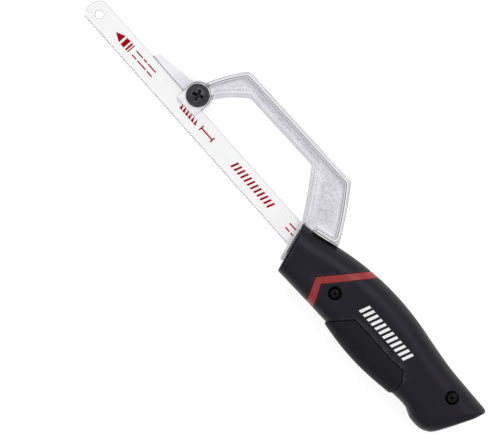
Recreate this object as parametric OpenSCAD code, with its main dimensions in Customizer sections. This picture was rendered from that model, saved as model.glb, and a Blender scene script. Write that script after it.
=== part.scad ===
// Small hacksaw: a cast I-section frame that clamps a pin-hole blade at its nose and lets the
// blade's other end run back into a hollow two-shell handle.
//
// X runs from the blade's free end to the handle, Y from the teeth to the frame's back, and Z up
// through the head of the clamp screw, so the saw lies on its left side.
// Outlines are laid out from the blade: X = 0 at its free pin hole, Y = 0 on its middle line and
// Z = 0 on its middle plane. place() moves them so that the origin is under the saw's middle.

/* [Blade] */
// Distance between the blade's two pin holes
blade_pitch = 250; // [246:1:252]
// Width of the blade from its back to the tooth tips
blade_w = 13.6; // [13:0.1:13.8]
// Thickness of the blade
blade_t = 0.65; // [0.6:0.05:0.8]
// Diameter of a pin hole
pin_hole_d = 4.6; // [4:0.1:5]
// Distance from a pin hole's centre to the blade's nearer end
blade_end = 7.8; // [7.5:0.1:9]
// Teeth in each inch of blade
teeth_per_inch = 24; // [18:1:32]
// Width of the hard steel strip that holds the teeth
tooth_strip_w = 2.2; // [1.6:0.1:3]

/* [Frame] */
// Thickness of the frame over its rims
frame_t = 13; // [12:0.5:15]
// Thickness of the web between the rims
web_t = 3.4; // [3:0.1:5]
// Thickness of the frame's tang inside the handle
tang_t = 10; // [9:0.5:11]
// Width of the slot that the blade runs in
slot_w = 1.4; // [1.2:0.1:1.8]

/* [Clamp] */
// Diameter of the clamp screw's head
clamp_head_d = 13.2; // [12:0.1:13.6]
// Height of the clamp screw's head
clamp_head_h = 3.8; // [3:0.1:4.4]
// Nominal diameter of the clamp screw's thread
clamp_thread_d = 6; // [5:0.5:6]
// Thickness of the clamp plate
clamp_plate_t = 1.8; // [1.4:0.1:2.4]
// Width of the clamp plate
clamp_plate_w = 14; // [13.6:0.1:14.4]
// Nut size across its flats
nut_flats = 10; // [8:0.5:10]
// Thickness of the nut
nut_t = 4; // [3:0.1:4.4]

/* [Handle] */
// Thickness of the handle over its flat sides
handle_t = 25; // [24:0.5:28]
// Wall thickness of a handle shell
shell_wall = 2.4; // [2.2:0.1:3]
// Height of the grip pads above the shells
pad_proud = 0.6; // [0.4:0.1:1]
// Depth that a grip pad or a stripe is let into its shell
inlay_depth = 1.1; // [0.8:0.1:1.4]
// Swell of the grip pads under the handle
pad_belly = 2.4; // [1:0.1:3]
// Diameter of a handle screw's recess
recess_d = 7.4; // [7:0.1:8]
// Diameter of a handle screw's head
handle_head_d = 6.2; // [5.6:0.1:6.8]
// Diameter of a handle screw's shank
handle_shank_d = 3.5; // [3:0.1:4]

/* [Hidden] */

$fn = 48;
// Gap kept between pieces that slide on each other
slide_gap = 0.05;
// Gap kept between pieces that only lie side by side
seam_gap = 0.1;
// Gap round a screw's shank in a hole that it only passes through
screw_gap = 0.25;
// Gap over each edge of the blade in its slot
edge_gap = 0.3;

// Middle of the saw in the blade's own layout, and the height of its blade over the ground
middle_x = 148.6;
middle_y = 10.1;
lift = handle_t / 2 + pad_proud;

// Blade
blade_back_y = blade_w / 2 + 0.1;
tooth_tip_y = blade_back_y - blade_w;
tooth_pitch = 25.4 / teeth_per_inch;
tooth_depth = 0.75 * tooth_pitch;
// Share of the pitch that a tooth's sloping back takes
tooth_back = 0.85;
// Depth that the row of teeth reaches into the strip
root_overlap = 0.4;
strip_top_y = tooth_tip_y + tooth_strip_w;
blade_end_r = 7.5;
blade_length = blade_pitch + 2 * blade_end;
seat_z = -blade_t / 2 - slide_gap;
plate_z = blade_t / 2 + slide_gap;
back_gap = 0.2;

// Clamp. A low ring stands round the plate's round end, and the plate rests on the blade, not on
// the pad under it.
clamp_at = [69.3, 10.9];
clamp_recess_turn = 24;
clamp_recess_size = 5.4;
clamp_plate_reach = 9.4;
plate_corner_r = 2;
clamp_pad_z = plate_z - 0.15;
ring_wall = 1.1;
ring_r = clamp_plate_w / 2 + 0.3;
ring_top_z = plate_z + clamp_plate_t + 0.3;
head_z = plate_z + clamp_plate_t + 0.02;

// Cross recess: its arms' width as a share of their length, and its depth and the dome's radius as
// shares of what the head's height gives
recess_arm = 0.26;
recess_reach = 0.6;
dome_flatness = 1.25;

// Handle screws, in X and Y
front_screw_at = [200.5, -5.3];
rear_screw_at = [286, 4.6];
handle_head_h = 2.2;
handle_recess_size = 3;
recess_depth = 3;
boss_d = 9;
screw_seat_z = handle_t / 2 - recess_depth;
// The front screw stops short of the blade's slot, and the rear one inside the left shell's boss
front_screw_tip_z = slot_w / 2 + 0.9;
rear_screw_tip_z = -handle_t / 2 + 4;
tip_room = 0.5;

// Guide ribs inside the shells
rib_x = [228, 246, 264];
rib_t = 1.6;

// Frame outlines. Each point is [x, y, corner radius].
spine_outline = concat(
    [[66.3, 15.5, 0]], bend([66.3, 15.5], [69, 26.5], [78.5, 41.1]),
    [[78.5, 41.1, 3]],
    [[161, 42.3, 1.6]], bend([161, 42.3], [173.4, 28.2], [182.8, 13.3]),
    [[182.8, 13.3, 0], [167.2, 9, 0], [160.2, 7.4, 0]],
    [[159.2, 7.4, 0]], bend([159.2, 7.4], [151, 19.2], [139.5, 32.2]),
    [[139.5, 32.2, 2.5], [89.7, 31.4, 3]], bend([89.7, 31.4], [80.2, 23], [76, 14.5]),
    [[76, 14.5, 0]]
);
pocket_outline = concat(
    [[70.2, 20.8, 1.2]], bend([70.2, 20.8], [71.6, 29], [79.8, 38.6]),
    [[79.8, 38.6, 1.5]],
    [[159.6, 39.8, 1]], bend([159.6, 39.8], [171.2, 27.6], [179.3, 14.8]),
    [[179.3, 14.8, 1], [167.4, 11.3, 0.8], [167.2, 4, 0], [161.2, 4, 0]],
    [[161, 9.2, 0]], bend([161, 9.2], [153, 20.6], [141.4, 34.7]),
    [[141.4, 34.7, 2], [88.6, 33.9, 2]], bend([88.6, 33.9], [81, 27.4], [75.9, 19.6]),
    [[75.9, 19.6, 1.2]]
);
finger_outline = [
    [36.4, -1.6, 1.5], [36.4, 7, 1], [38, 11.2, 1.2], [61, 14.4, 0], [64, 14.4, 0], [64, -4, 0]
];
nose_outline = [
    [60.4, -4, 1], [60.4, 14.3, 0], [63, 15.4, 1.5], [66, 17.6, 1], [76.4, 15.4, 1], [77.3, 12, 1],
    [77.3, -4, 1]
];
flange_outline = [
    [159.2, 7.4, 0], [160.5, 7.4, 0], [165.6, -7.6, 0], [168, -14.2, 0.9], [167.4, -15.3, 0.7],
    [165.8, -14.4, 0.8]
];
// Web's neck that passes down between the two shells to the tang
neck_outline = [[160.6, 3, 0], [167.2, 3, 0], [167.2, 9.6, 0], [160.6, 9.6, 0]];
tang_outline = [
    [160.8, 4.6, 0], [168, 6, 0], [182, 8.6, 2], [214, 8.6, 3], [214, -10.4, 3], [166, -10.4, 0]
];
// The tang's outline with a seam's gap round it, open to the front
tang_room_outline = [
    [150, 4.6 + seam_gap, 0], [160.8, 4.6 + seam_gap, 0], [168, 6 + seam_gap, 0],
    [182, 8.6 + seam_gap, 0], [214 + seam_gap, 8.6 + seam_gap, 0],
    [214 + seam_gap, -10.4 - seam_gap, 0], [150, -10.4 - seam_gap, 0]
];
neck_rear_x = 167.2;
// X in front of the flange, where the cuts through it and the shells start
cut_x = 150;
slot_end_x = 220;
finger_back_z = -5;
finger_lip_z = 1.7;

// Handle form. Each station is [top x, top y, bottom x, bottom y, half thickness / widest half].
stations = [
    [160.7, 7.6, 170.4, -20.4, 0.93],
    [171, 9.5, 178, -20.1, 0.96],
    [183, 13.1, 188, -19.8, 0.99],
    [197, 16.5, 199, -19.5, 1],
    [212, 18.7, 212, -19.3, 1],
    [228, 19.5, 226, -19.3, 1],
    [244, 18.6, 240, -19, 1],
    [260, 16.5, 254, -18.4, 1],
    [274, 15, 266, -17.7, 1],
    [289, 14.5, 277, -19.4, 0.97],
    [306, 14.1, 291, -19.4, 0.95]
];
steps_per_station = 3;
quarter_steps = 6;
top_blend = 12;
bottom_blend = 9;
end_round = 2.4;
belly_span = [206, 264];
// Power that makes the belly fuller than a plain half wave
belly_power = 0.8;
// First and last station rows that the pads and the stripes reach
pad_rows = [9, 26];
stripe_rows = [5, 14];
// Station rows left solid in front of the shells' hollow and behind it
solid_rows = [2, 4];
// Reach of a cutting tool past the surface that it cuts
cut_reach = 3;

// Side outlines of the grip pads and of the colour stripe
pad_outline = [
    [207, -26, 0], [208.6, -19.6, 0], [218.4, -6.4, 2], [250, -6.2, 8], [257.2, -5.2, 1.5],
    [262, -11, 2], [262.8, -26, 0]
];
stripe_outline = [
    [210.2, 25, 0], [186.8, -7, 0.6], [196, -25, 0], [201.9, -25, 0], [191.7, -7.6, 0.6], [215.2, 25, 0]
];

// Curved stretch from a to b that leans to c, without its two ends
function bend(a, c, b, steps = 7) = [
    for (i = [1 : steps - 1])
        let (t = i / steps, p = a * (1 - t) * (1 - t) + c * 2 * t * (1 - t) + b * t * t)
            [p.x, p.y, 0]
];

function unit(v) = v / norm(v);
function turn(from, to) = let (d = to - from) d > 180 ? d - 360 : d < -180 ? d + 360 : d;

// Arc of radius r that rounds the corner p between its neighbours a and b
function fillet(a, p, b, r, steps = 6) =
    let (
        to_a = unit(a - p),
        to_b = unit(b - p),
        half = acos(to_a * to_b) / 2,
        centre = p + unit(to_a + to_b) * r / sin(half),
        first = p + to_a * r / tan(half) - centre,
        last = p + to_b * r / tan(half) - centre,
        start = atan2(first.y, first.x),
        sweep = turn(start, atan2(last.y, last.x))
    )
    [for (k = [0 : steps]) centre + r * [cos(start + sweep * k / steps), sin(start + sweep * k / steps)]];

function xy(p) = [p.x, p.y];

// Outline with each corner rounded to its own radius
function rounded(path) = [
    for (i = [0 : len(path) - 1])
        let (p = path[i], n = len(path), a = path[(i + n - 1) % n], b = path[(i + 1) % n])
            each p.z > 0 ? fillet(xy(a), xy(p), xy(b), p.z) : [xy(p)]
];

module place() {
    translate([-middle_x, -middle_y, lift]) children();
}

// Outline extruded between two heights
module slab(outline, low, high) {
    translate([0, 0, low]) linear_extrude(high - low) polygon(rounded(outline));
}

// Cylinder at a point in X and Y between two heights
module post(at, d, low, high) {
    translate([at.x, at.y, low]) cylinder(d = d, h = high - low);
}

// Block between two corners
module block(low, high) {
    translate(low) cube(high - low);
}

// Smooth value between the rows of a list, after Catmull and Rom
function blend_row(rows, i, t) =
    let (
        last = len(rows) - 1,
        a = rows[max(i - 1, 0)],
        b = rows[i],
        c = rows[min(i + 1, last)],
        d = rows[min(i + 2, last)]
    )
    b + (c - a) * t / 2
        + (2 * a - 5 * b + 4 * c - d) * t * t / 2
        + (3 * b - a - 3 * c + d) * t * t * t / 2;

// Stations at even steps, then the end face's rounded edge as [station, inset] pairs
function form_rows() = concat(
    [for (i = [0 : len(stations) - 2], k = [0 : steps_per_station - 1])
        [blend_row(stations, i, k / steps_per_station), 0]],
    [for (a = [0, 45, 90])
        let (end = stations[len(stations) - 1], back = end_round * (1 - sin(a)))
            [[end[0] - back, end[1], end[2] - back, end[3], end[4]], end_round * (1 - cos(a))]]
);

function belly(x) =
    x <= belly_span[0] || x >= belly_span[1] ? 0
    : pad_belly * pow(sin(180 * (x - belly_span[0]) / (belly_span[1] - belly_span[0])), belly_power);

// Points of one half section, from its bottom over the side to its top
function half_section(row, grow, swell) =
    let (
        s = row[0],
        g = grow - row[1],
        along = unit([s[0] - s[2], s[1] - s[3]]),
        top = [s[0], s[1]] + along * g,
        bottom = [s[2], s[3]] - along * (g + swell * belly(s[2])),
        half = min(s[4], 1) * handle_t / 2 + g
    )
    concat(
        [for (k = [0 : quarter_steps])
            let (a = 90 * k / quarter_steps, p = bottom + along * (bottom_blend + g) * (1 - cos(a)))
                [p.x, p.y, half * sin(a)]],
        [for (k = [quarter_steps : -1 : 0])
            let (a = 90 * k / quarter_steps, p = top - along * (top_blend + g) * (1 - cos(a)))
                [p.x, p.y, half * sin(a)]]
    );

// Closed solid swept through rings that all have the same number of points
module loft(rings) {
    m = len(rings[0]);
    n = len(rings);
    sides = [
        for (i = [0 : n - 2], j = [0 : m - 1])
            let (a = i * m + j, b = i * m + (j + 1) % m)
                each [[a, b, b + m], [a, b + m, a + m]]
    ];
    front = [for (j = [m - 1 : -1 : 0]) j];
    rear = [for (j = [0 : m - 1]) (n - 1) * m + j];
    polyhedron(points = [for (ring = rings) each ring], faces = concat(sides, [front, rear]));
}

// Section points with one more at each end, a skirt's depth under the parting plane
function skirted(section, skirt) =
    skirt == 0 ? section
    : concat(
        [[section[0].x, section[0].y, -skirt]],
        section,
        [let (last = section[len(section) - 1]) [last.x, last.y, -skirt]]
    );

function reversed(list) = [for (i = [len(list) - 1 : -1 : 0]) list[i]];

// Right half of the handle's form, grown by a margin
module half_form(grow = 0, skirt = 0, first = 0, skip = 0) {
    rows = form_rows();
    loft([for (i = [first : len(rows) - 1 - skip]) skirted(half_section(rows[i], grow, 0), skirt)]);
}

// Right half of a skin that follows the handle's form between two margins
module half_skin(outer, inner, swell, skirt, first, last) {
    rows = form_rows();
    loft([
        for (i = [first : last])
            concat(
                skirted(half_section(rows[i], outer, swell), skirt),
                reversed(skirted(half_section(rows[i], inner, 0), skirt))
            )
    ]);
}

// Pan head with a cross recess above z = 0 and a plain shank below it
module cross_screw(head_d, head_h, shank_d, length, recess_size) {
    dome_r = dome_flatness * (head_d * head_d / 4 + head_h * head_h) / (2 * head_h);
    arm = [recess_size, recess_size * recess_arm, 2 * head_h * recess_reach];
    difference() {
        intersection() {
            cylinder(d = head_d, h = head_h);
            translate([0, 0, head_h - dome_r]) sphere(r = dome_r);
        }
        for (a = [0, 90])
            rotate(a) translate([0, 0, head_h]) cube(arm, center = true);
    }
    translate([0, 0, -length]) cylinder(d = shank_d, h = length);
}

// Blank of the blade with its two round ends and pin holes
module blade_blank(low_y, high_y) {
    difference() {
        intersection() {
            union() {
                for (x = [blade_end_r - blade_end, blade_length - blade_end - blade_end_r])
                    post([x, 0], 2 * blade_end_r, -blade_t / 2, blade_t / 2);
                block(
                    [blade_end_r - blade_end, tooth_tip_y, -blade_t / 2],
                    [blade_length - blade_end - blade_end_r, blade_back_y, blade_t / 2]
                );
            }
            block([-blade_end, low_y, -blade_t], [blade_length, high_y, blade_t]);
        }
        for (x = [0, blade_pitch])
            post([x, 0], pin_hole_d, -blade_t, blade_t);
    }
}

module blade() {
    color([0.93, 0.93, 0.94]) place() blade_blank(strip_top_y, blade_back_y);
}

// Teeth lean to the blade's free end, with upright faces and a short flat in each gullet
module tooth_strip() {
    root_y = tooth_tip_y + tooth_depth;
    start = -sqrt(blade_end_r * blade_end_r - root_y * root_y) + blade_end_r - blade_end;
    end = blade_length - 2 * blade_end - start;
    count = floor((end - start) / tooth_pitch);
    teeth = [
        for (i = [0 : count - 1])
            let (x = start + i * tooth_pitch)
                each [[x, root_y], [x, tooth_tip_y], [x + tooth_back * tooth_pitch, root_y]]
    ];
    top_y = root_y + root_overlap;
    color([0.42, 0.42, 0.44]) place() {
        translate([0, 0, -blade_t / 2])
            linear_extrude(blade_t)
                polygon(concat([[start, top_y]], teeth, [[end, root_y], [end, top_y]]));
        blade_blank(root_y, strip_top_y);
    }
}

// Room for the blade, the clamp plate and the screw's head on the frame's nose
module clamp_room() {
    block([0, -frame_t, seat_z], [blade_pitch / 2, blade_back_y + back_gap, frame_t]);
    block([clamp_at.x - ring_r, tooth_tip_y, clamp_pad_z], [clamp_at.x + ring_r, clamp_at.y, frame_t]);
    post(clamp_at, 2 * ring_r, clamp_pad_z, frame_t);
    post(clamp_at, 2 * (ring_r + ring_wall), ring_top_z, frame_t);
}

// Spine, nose, finger, flange and tang are one casting
module frame() {
    color([0.78, 0.78, 0.8]) place() difference() {
        union() {
            difference() {
                slab(spine_outline, -frame_t / 2, frame_t / 2);
                slab(pocket_outline, web_t / 2, frame_t);
                slab(pocket_outline, -frame_t, -web_t / 2);
            }
            slab(neck_outline, -web_t / 2, web_t / 2);
            slab(nose_outline, -frame_t / 2, clamp_pad_z);
            slab(finger_outline, finger_back_z, finger_lip_z);
            post(clamp_at, 2 * (ring_r + ring_wall), -frame_t / 2, ring_top_z);
            slab(flange_outline, -frame_t / 2, frame_t / 2);
            slab(tang_outline, -tang_t / 2, tang_t / 2);
        }
        clamp_room();
        post(clamp_at, clamp_thread_d + 2 * screw_gap, -frame_t, frame_t);
        translate([clamp_at.x, clamp_at.y, -frame_t])
            cylinder(d = nut_flats / cos(30), h = frame_t / 2 + nut_t, $fn = 6);
        block(
            [cut_x, tooth_tip_y - edge_gap, -slot_w / 2],
            [slot_end_x, blade_back_y + edge_gap, slot_w / 2]
        );
        post(front_screw_at, handle_shank_d + 2 * slide_gap, -tang_t, tang_t);
    }
}

module clamp_nut() {
    color([0.6, 0.6, 0.62]) place() translate([clamp_at.x, clamp_at.y, -frame_t / 2]) difference() {
        cylinder(d = nut_flats / cos(30), h = nut_t, $fn = 6);
        translate([0, 0, -1]) cylinder(d = clamp_thread_d, h = nut_t + 2);
    }
}

module clamp_plate() {
    left = clamp_at.x - clamp_plate_w / 2;
    right = clamp_at.x + clamp_plate_w / 2;
    low = clamp_at.y - clamp_plate_reach;
    outline = [
        [left, clamp_at.y, 0], [left, low, plate_corner_r], [right, low, plate_corner_r],
        [right, clamp_at.y, 0]
    ];
    color([0.72, 0.72, 0.74]) place() difference() {
        union() {
            post(clamp_at, clamp_plate_w, plate_z, plate_z + clamp_plate_t);
            slab(outline, plate_z, plate_z + clamp_plate_t);
        }
        post(clamp_at, clamp_thread_d + 2 * screw_gap, 0, frame_t);
    }
}

module clamp_screw() {
    shank_d = clamp_thread_d - 2 * slide_gap;
    length = head_z + frame_t / 2;
    color([0.16, 0.16, 0.17])
        place() translate([clamp_at.x, clamp_at.y, head_z]) rotate(clamp_recess_turn)
            cross_screw(clamp_head_d, clamp_head_h, shank_d, length, clamp_recess_size);
}

// Bosses and guide ribs that stand inside a shell
module shell_ribs() {
    post(rear_screw_at, boss_d, 0, handle_t / 2 + 1);
    post(front_screw_at, boss_d, tang_t / 2 + seam_gap, handle_t / 2 + 1);
    for (x = rib_x)
        block([x, -2 * handle_t, 0], [x + rib_t, 2 * handle_t, handle_t]);
}

// Room for the frame's tang, its neck and the moving blade
module tang_room() {
    slab(tang_room_outline, -1, tang_t / 2 + seam_gap);
    block([cut_x, 0, -1], [neck_rear_x + seam_gap, handle_t, web_t / 2 + seam_gap]);
    block(
        [cut_x, tooth_tip_y - edge_gap, -1],
        [rear_screw_at.x - boss_d / 2, blade_back_y + edge_gap, slot_w / 2]
    );
}

// Pocket for an inlay: a skin of the handle's form within a side outline
module inlay_pocket(outline, first, last) {
    intersection() {
        half_skin(cut_reach, -inlay_depth, swell = 0, skirt = 1, first = first, last = last);
        slab(outline, -2, handle_t);
    }
}

module shell(recessed_rear) {
    difference() {
        half_form();
        difference() {
            half_form(grow = -shell_wall, skirt = 1, first = solid_rows[0], skip = solid_rows[1]);
            shell_ribs();
        }
        tang_room();
        inlay_pocket(pad_outline, pad_rows[0], pad_rows[1]);
        inlay_pocket(stripe_outline, stripe_rows[0], stripe_rows[1]);
        post(front_screw_at, recess_d, screw_seat_z, handle_t);
        post(front_screw_at, handle_shank_d + 2 * screw_gap, 0, handle_t);
        if (recessed_rear) {
            post(rear_screw_at, recess_d, screw_seat_z, handle_t);
            post(rear_screw_at, handle_shank_d + 2 * screw_gap, -1, handle_t);
        } else {
            post(rear_screw_at, handle_shank_d + 2 * slide_gap, -1, tip_room - rear_screw_tip_z);
        }
    }
}

module grip_pad() {
    color([0.2, 0.2, 0.21]) intersection() {
        half_skin(pad_proud, -inlay_depth, swell = 1, skirt = 0, first = pad_rows[0], last = pad_rows[1]);
        slab(pad_outline, -1, handle_t);
    }
}

module stripe() {
    color([0.62, 0.18, 0.18]) intersection() {
        half_skin(0, -inlay_depth, swell = 0, skirt = 0, first = stripe_rows[0], last = stripe_rows[1]);
        slab(stripe_outline, -1, handle_t);
    }
}

// Handle screw at a point in X and Y, from its seat down to its tip
module handle_screw(at, tip_z) {
    length = screw_seat_z - tip_z;
    color([0.12, 0.12, 0.12]) translate([at.x, at.y, screw_seat_z])
        cross_screw(handle_head_d, handle_head_h, handle_shank_d, length, handle_recess_size);
}

module handle_shell_right() {
    color([0.15, 0.15, 0.17]) place() shell(true);
}

module handle_shell_left() {
    color([0.15, 0.15, 0.17]) place() mirror([0, 0, 1]) shell(false);
}

module grip_pad_right() {
    place() grip_pad();
}

module grip_pad_left() {
    place() mirror([0, 0, 1]) grip_pad();
}

module stripe_right() {
    place() stripe();
}

module stripe_left() {
    place() mirror([0, 0, 1]) stripe();
}

module front_screw_right() {
    place() handle_screw(front_screw_at, front_screw_tip_z);
}

module front_screw_left() {
    place() mirror([0, 0, 1]) handle_screw(front_screw_at, front_screw_tip_z);
}

module rear_screw() {
    place() handle_screw(rear_screw_at, rear_screw_tip_z);
}

frame();
blade();
tooth_strip();
clamp_plate();
clamp_screw();
clamp_nut();
handle_shell_right();
handle_shell_left();
grip_pad_right();
grip_pad_left();
stripe_right();
stripe_left();
front_screw_right();
front_screw_left();
rear_screw();
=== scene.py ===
"""Looks of a small hacksaw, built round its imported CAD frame.

Pieces are laid out in millimetres from the blade, as the CAD model is: X = 0 at the blade's free pin
hole, Y = 0 on its middle line and Z = 0 on its middle plane. X runs to the handle, Y to the frame's
back and Z up through the clamp screw's head.

Cast, moulded and turned pieces are fields. A field is a function of x, y and z that gives the
distance to the piece's surface, below zero inside, and moulded() turns it into a mesh. Where two
fields are joined, an extra last number is the radius of the edge between them.
"""
import math
from functools import partial

import bpy
import numpy as np
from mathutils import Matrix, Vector
from mathutils.geometry import tessellate_polygon


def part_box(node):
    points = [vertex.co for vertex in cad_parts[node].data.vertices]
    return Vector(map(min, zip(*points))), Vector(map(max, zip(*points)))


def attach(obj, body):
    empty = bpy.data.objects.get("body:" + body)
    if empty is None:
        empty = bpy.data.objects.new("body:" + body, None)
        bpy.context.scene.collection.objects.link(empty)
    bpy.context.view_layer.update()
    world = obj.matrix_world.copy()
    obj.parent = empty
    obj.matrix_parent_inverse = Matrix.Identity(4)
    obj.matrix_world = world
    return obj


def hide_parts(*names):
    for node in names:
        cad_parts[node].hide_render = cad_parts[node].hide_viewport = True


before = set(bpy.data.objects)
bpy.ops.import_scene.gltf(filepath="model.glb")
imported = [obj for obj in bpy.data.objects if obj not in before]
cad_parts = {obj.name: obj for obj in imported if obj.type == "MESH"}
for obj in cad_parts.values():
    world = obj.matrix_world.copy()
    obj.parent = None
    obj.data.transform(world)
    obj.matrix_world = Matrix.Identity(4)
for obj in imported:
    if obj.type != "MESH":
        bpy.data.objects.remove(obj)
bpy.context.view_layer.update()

MM = 0.001

# Blade
BLADE_END = 7.8
BLADE_END_R = 7.5
BLADE_BACK_Y = 6.9
TOOTH_TIP_Y = -7.2
STRIP_TOP_Y = -4.5
TOOTH_PITCH = 25.4 / 24
TOOTH_DEPTH = 1.15 * TOOTH_PITCH
TOOTH_BACK = 0.85
SET_WAVE = 9 * TOOTH_PITCH
SET_DEPTH = 0.13
PIN_HOLE_R = 2.3
BLADE_CHAMFER = 0.2

# Frame
HALF_FRAME = 6.5
HALF_WEB = 1.7
HALF_TANG = 5
HALF_SLOT = 0.7
SLOT_HALF_H = 7.3
SLOT_X = (150, 220)
SEAT_Z = -0.375
SEAT_END_X = 125
BLADE_GAP = 0.03
POCKET_DRAFT = 0.11
FINGER_LOW_Z = -5
FINGER_TOP_Z = 1.7
FINGER_END_X = 61
FINGER_SLOPE = 0.02
SCREW_HOLE_R = 1.8

# Clamp
CLAMP_AT = (69.3, 10.9)
CLAMP_PAD_Z = 0.225
RING_R = 7.3
RING_WALL = 1.1
RING_TOP_Z = 2.475
PLATE_LOW_Z = 0.375
PLATE_HIGH_Z = 2.175
PLATE_HALF_W = 7.15
PLATE_REACH = 9.4
CLAMP_HOLE_R = 3.25
CLAMP_SHANK_R = 2.95
HEAD_Z = 2.195
HEAD_R = 6.6
HEAD_FLANGE_H = 1.5
HEAD_H = 3.8
HEAD_DOME_R = 8.4
NUT_H = 4
NUT_HALF_FLATS = 4.98
NUT_POCKET_HALF_FLATS = 5.12
THREAD_PITCH = 1

# Handle
HALF_HANDLE = 12.5
SHELL_WALL = 2.4
SHELL_START = 0.15
STEP_W = 1.05
STEP_LOW_Y = -14.8
PAD_PROUD = 0.6
INLAY_DEPTH = 1.1
PAD_BELLY = 2.4
TOP_BLEND = 12
BOTTOM_BLEND = 9
TOP_POWER = 2.0
BOTTOM_POWER = 3.0
# Share of the handle's full thickness along X
TAPER_X = (162, 176, 198, 270, 284, 300)
TAPER = (0.93, 0.97, 1, 1, 0.975, 0.95)
TANG_ROOM_Z = 5.1
RIBS_X = (228, 246, 264)
RIB_W = 1.6
BOSS_R = 4.5
RECESS_R = 3.7
RECESS_CHAMFER = 0.55
SCREW_SEAT_Z = 9.5
PAN_R = 3.1
PAN_H = 2.2
PAN_DOME_R = 4.6
PAN_SHANK_R = 1.75
FRONT_SCREW_TIP_Z = 1.6
REAR_SCREW_TIP_Z = -8.5
FRONT_SCREW_AT = (200.5, -5.3)
REAR_SCREW_AT = (286, 4.6)


def layout_origin():
    """Point of the layout, in millimetres, that lies at the origin of the frame."""
    low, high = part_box("blade")
    return np.array([
        -BLADE_END - low.x / MM,
        BLADE_BACK_Y - high.y / MM,
        -(low.z + high.z) / 2 / MM,
    ])


ORIGIN = layout_origin()


def in_frame(value, axis):
    """Coordinate in the frame, in metres, of one in the layout."""
    return (value - ORIGIN[axis]) * MM


BLADE_PLANE = in_frame(0, 2)

# Stretch over which the finger's rubbed face turns into cast skin
RUBBED_X = (in_frame(50, 0), in_frame(64, 0))


# ---- Outlines in the side view ----

def bend(start, control, end, steps=14):
    """Points between start and end on a curve that leans to a control point."""
    points = []
    for i in range(1, steps):
        t = i / steps
        points.append(tuple(
            a * (1 - t) ** 2 + c * 2 * t * (1 - t) + b * t * t
            for a, c, b in zip(start, control, end)
        ))
    return points


def curved(corners):
    """Corners in which a curve's control point, in square brackets, gives way to its curve."""
    points = []
    for i, corner in enumerate(corners):
        if isinstance(corner, list):
            points += bend(corners[i - 1][:2], corner, corners[i + 1][:2])
        else:
            points.append(corner)
    return points


def rounded(corners, steps=9):
    """Points of an outline whose (x, y, radius) corners are rounded by arcs."""
    points = []
    for i, corner in enumerate(corners):
        if len(corner) == 2 or corner[2] == 0:
            points.append(corner[:2])
            continue
        here = Vector(corner[:2])
        back = (Vector(corners[i - 1][:2]) - here).normalized()
        ahead = (Vector(corners[(i + 1) % len(corners)][:2]) - here).normalized()
        half = back.angle(ahead) / 2
        centre = here + (back + ahead).normalized() * corner[2] / math.sin(half)
        first = here + back * corner[2] / math.tan(half) - centre
        last = here + ahead * corner[2] / math.tan(half) - centre
        start = math.atan2(first.y, first.x)
        sweep = (math.atan2(last.y, last.x) - start + math.pi) % (2 * math.pi) - math.pi
        for k in range(steps + 1):
            angle = start + sweep * k / steps
            points.append((
                centre.x + corner[2] * math.cos(angle),
                centre.y + corner[2] * math.sin(angle),
            ))
    return points


def through(knots, steps=8):
    """Points of a smooth curve that passes through its knots, after Catmull and Rom."""
    knots = np.array(knots, float)
    padded = np.vstack([knots[0], knots, knots[-1]])
    points = []
    for i in range(len(knots) - 1):
        a, b, c, d = padded[i:i + 4]
        for k in range(steps):
            t = k / steps
            points.append(
                b + (c - a) * t / 2
                + (2 * a - 5 * b + 4 * c - d) * t * t / 2
                + (3 * b - a - 3 * c + d) * t ** 3 / 2
            )
    points.append(knots[-1])
    return np.array(points)


class Outline:
    """Closed outline that gives the distance to itself in the side view, below zero inside."""

    def __init__(self, points):
        self.points = np.array(points, float)

    def __call__(self, x, y):
        shape = np.broadcast(x, y).shape
        x = np.broadcast_to(x, shape).ravel()
        y = np.broadcast_to(y, shape).ravel()
        nearest = np.full(x.shape, np.inf)
        inside = np.zeros(x.shape, bool)
        for (ax, ay), (bx, by) in zip(self.points, np.roll(self.points, -1, 0)):
            edge_x, edge_y = bx - ax, by - ay
            px, py = x - ax, y - ay
            along = np.clip((px * edge_x + py * edge_y) / (edge_x ** 2 + edge_y ** 2), 0, 1)
            nearest = np.minimum(
                nearest, (px - along * edge_x) ** 2 + (py - along * edge_y) ** 2)
            if edge_y != 0:
                inside ^= ((ay > y) != (by > y)) & (px < edge_x * py / edge_y)
        distance = np.sqrt(nearest)
        return np.where(inside, -distance, distance).reshape(shape)


SPINE = Outline(rounded(curved([
    (66.3, 15.5), [69, 26.5], (78.5, 41.1, 3),
    (161, 42.3, 1.6), [173.4, 28.2],
    (182.8, 13.3), (167.2, 9), (160.2, 7.4),
    (159.2, 7.4), [151, 19.2], (139.5, 32.2, 2.5),
    (89.7, 31.4, 3), [80.2, 23], (76, 14.5),
])))
POCKET = Outline(rounded(curved([
    (69.7, 17.4, 0.6), [73.1, 28.1], (80.1, 38, 1.2),
    (159.4, 39.1, 1), [170.6, 27.2],
    (178.5, 14.9, 1), (167.4, 11.8, 0.8), (167.2, 4), (161.2, 4),
    (161, 9.2), [153, 20.6], (141.4, 34.7, 2),
    (88.6, 33.9, 2), [80.4, 27], (74, 16.8, 0.6),
])))
WINDOW = Outline(curved([
    (76, 14.5), [80.2, 23], (89.7, 31.4), (139.5, 32.2),
    [151, 19.2], (159.2, 7.4), (159.2, -20), (76, -20),
]))
FINGER = Outline(rounded([
    (36.4, -1.6, 1.5), (36.4, 7, 1), (38, 11.2, 1.2), (61, 14.4), (64, 14.4), (64, -4),
]))
NOSE = Outline(rounded([
    (60.4, -4, 1), (60.4, 14.3), (63, 15.4, 1.5), (66, 17.6, 1), (76.4, 15.4, 1), (77.3, 12, 1),
    (77.3, -4, 1),
]))
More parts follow.
